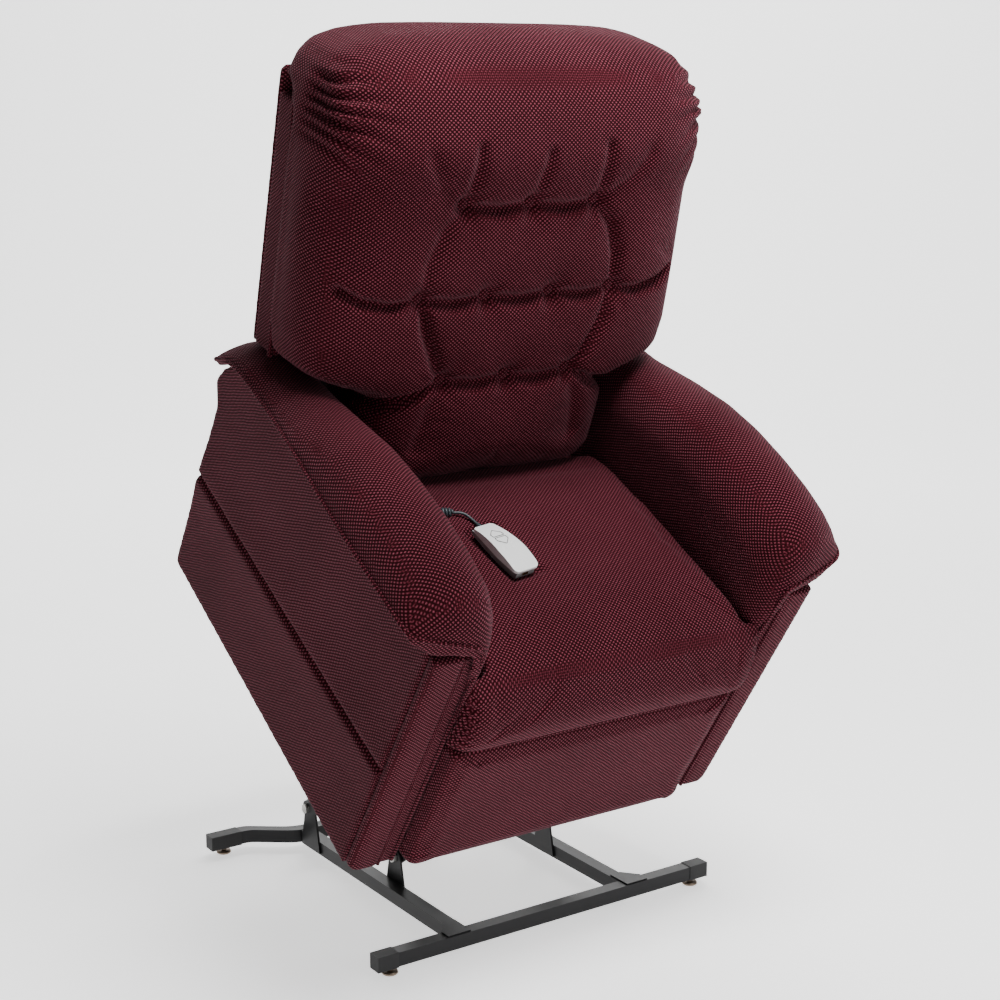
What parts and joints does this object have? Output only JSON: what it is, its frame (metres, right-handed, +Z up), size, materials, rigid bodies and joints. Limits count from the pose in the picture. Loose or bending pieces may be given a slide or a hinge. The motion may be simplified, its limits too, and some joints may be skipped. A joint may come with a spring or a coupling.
{
  "type": "lift recliner chair",
  "caption": "Powered lift recliner chair, raised and tilted forward: tufted back, pillow arms, stowed legrest, handset on a curly cord, tubular floor frame with lift links and actuator.",
  "frame": {"origin": "on the floor, under the middle of the raised chair's bounding box", "axes": "+Z up, -Y is the front that the sitter faces, +X is the sitter's left"},
  "size_m": [0.8678, 0.9364, 1.538],
  "materials": {
    "burgundy_fabric": "woven",
    "black_frame": "satin powder coat",
    "black_plastic": "matt moulded",
    "glide_metal": "nickel plated",
    "zinc_bolt": "zinc plated",
    "polished_rod": "polished",
    "spring_wire": "drawn wire",
    "frame_wood": "sawn hardwood and plywood",
    "drive_plastic": "matt moulded",
    "grey_plastic": "fine texture",
    "white_plastic": "gloss",
    "port_metal": "stamped",
    "cord_rubber": "moulded jacket"
  },
  "bodies": {
    "base": {"base_front_rail": "black_frame", "base_rear_rail": "black_frame", "base_side_tubes": "black_frame", "rail_end_caps": "black_plastic", "floor_glides": "glide_metal", "base_corner_gussets": "black_frame", "base_link_brackets": "black_frame", "actuator_base_clevis": "black_frame", "base_pivot_bolts": "zinc_bolt"},
    "front_links": {"front_lift_links": "black_frame", "front_link_torque_tube": "black_frame"},
    "rear_links": {"rear_lift_links": "black_frame"},
    "lift_frame": {"body_side_rails": "black_frame", "body_cross_tubes": "black_frame", "lift_plates": "black_frame", "actuator_rod_bracket": "black_frame", "lift_pivot_bolts": "zinc_bolt", "legrest_pivot_plates": "black_frame", "back_hinge_brackets": "black_frame", "seat_frame": "frame_wood", "seat_springs": "spring_wire", "seat_cushion": "burgundy_fabric", "arm_frames": "frame_wood", "arm_side_panel_left": "burgundy_fabric", "arm_side_panel_right": "burgundy_fabric", "arm_front_panel_left": "burgundy_fabric", "arm_front_panel_right": "burgundy_fabric", "arm_inner_panels": "burgundy_fabric", "arm_pad_left": "burgundy_fabric", "arm_pad_right": "burgundy_fabric", "rear_body_panel": "burgundy_fabric", "power_supply": "drive_plastic", "power_inlet": "drive_plastic", "handset_lower_housing": "grey_plastic", "handset_upper_shell": "white_plastic", "usb_port": "port_metal", "handset_strain_relief": "cord_rubber", "cord_gland": "black_plastic", "handset_cord": "cord_rubber", "handset_cord_coil": "cord_rubber"},
    "button_up": {"button_up": "white_plastic"},
    "button_down": {"button_down": "white_plastic"},
    "actuator_motor": {"motor_housing": "drive_plastic", "actuator_guide_tube": "drive_plastic"},
    "actuator_rod": {"actuator_rod": "polished_rod"},
    "backrest": {"outside_back_panel": "burgundy_fabric", "back_side_strips": "burgundy_fabric", "back_frame": "frame_wood", "back_hinge_plates": "black_frame", "back_cushion": "burgundy_fabric", "back_buttons": "burgundy_fabric"},
    "legrest_lower": {"legrest_lower_links": "black_frame"},
    "legrest_upper": {"legrest_upper_links": "black_frame"},
    "ottoman": {"legrest_board": "frame_wood", "legrest_hinge_ears": "black_frame", "legrest_pad": "burgundy_fabric"}
  },
  "joints": [
    {"name": "front_link_turn", "type": "hinge", "parent": "base", "child": "front_links", "pos_m": [0, 0.0542, 0.085], "axis": [1, 0, 0], "range_deg": [0, 40.89]},
    {"name": "lift", "type": "hinge", "parent": "front_links", "child": "lift_frame", "pos_m": [0, -0.12602, 0.21458], "axis": [-1, 0, 0], "range_deg": [0, 73.53]},
    {"name": "rear_link_turn", "type": "hinge", "parent": "base", "child": "rear_links", "pos_m": [0, 0.3142, 0.1], "axis": [1, 0, 0], "range_deg": [0, 27.25]},
    {"name": "actuator_turn", "type": "hinge", "parent": "base", "child": "actuator_motor", "pos_m": [0, 0.2842, 0.06], "axis": [1, 0, 0], "range_deg": [0, 19.4]},
    {"name": "rod_slide", "type": "slide", "parent": "actuator_motor", "child": "actuator_rod", "axis": [0, 0.7846, -0.6201], "range_m": [0, 0.12342]},
    {"name": "recline", "type": "hinge", "parent": "lift_frame", "child": "backrest", "pos_m": [0, 0.21565, 0.79563], "axis": [-1, 0, 0], "range_deg": [0, 30]},
    {"name": "legrest_lower_turn", "type": "hinge", "parent": "lift_frame", "child": "legrest_lower", "pos_m": [0, -0.21362, 0.45536], "axis": [-1, 0, 0], "range_deg": [0, 100]},
    {"name": "legrest_upper_turn", "type": "hinge", "parent": "legrest_lower", "child": "legrest_upper", "pos_m": [0, -0.06331, 0.33194], "axis": [1, 0, 0], "range_deg": [0, 105]},
    {"name": "ottoman_turn", "type": "hinge", "parent": "legrest_upper", "child": "ottoman", "pos_m": [0, -0.21847, 0.35725], "axis": [-1, 0, 0], "range_deg": [0, 93]},
    {"name": "button_up_press", "type": "slide", "parent": "lift_frame", "child": "button_up", "axis": [0, 0.4562, -0.8899], "range_m": [0, 0.0008], "stiffness_N_per_m": 600},
    {"name": "button_down_press", "type": "slide", "parent": "lift_frame", "child": "button_down", "axis": [0, 0.4562, -0.8899], "range_m": [0, 0.0008], "stiffness_N_per_m": 600}
  ],
  "couplings": [
    {"joint": "front_link_turn", "follows": "lift", "ratio": 0.55608},
    {"joint": "rear_link_turn", "follows": "lift", "ratio": 0.37063},
    {"joint": "actuator_turn", "follows": "lift", "ratio": 0.2638},
    {"joint": "rod_slide", "follows": "lift", "m_per_rad": 0.096176},
    {"joint": "legrest_lower_turn", "follows": "recline", "ratio": 3.3333},
    {"joint": "legrest_upper_turn", "follows": "recline", "ratio": 3.5},
    {"joint": "ottoman_turn", "follows": "recline", "ratio": 3.1}
  ]
}
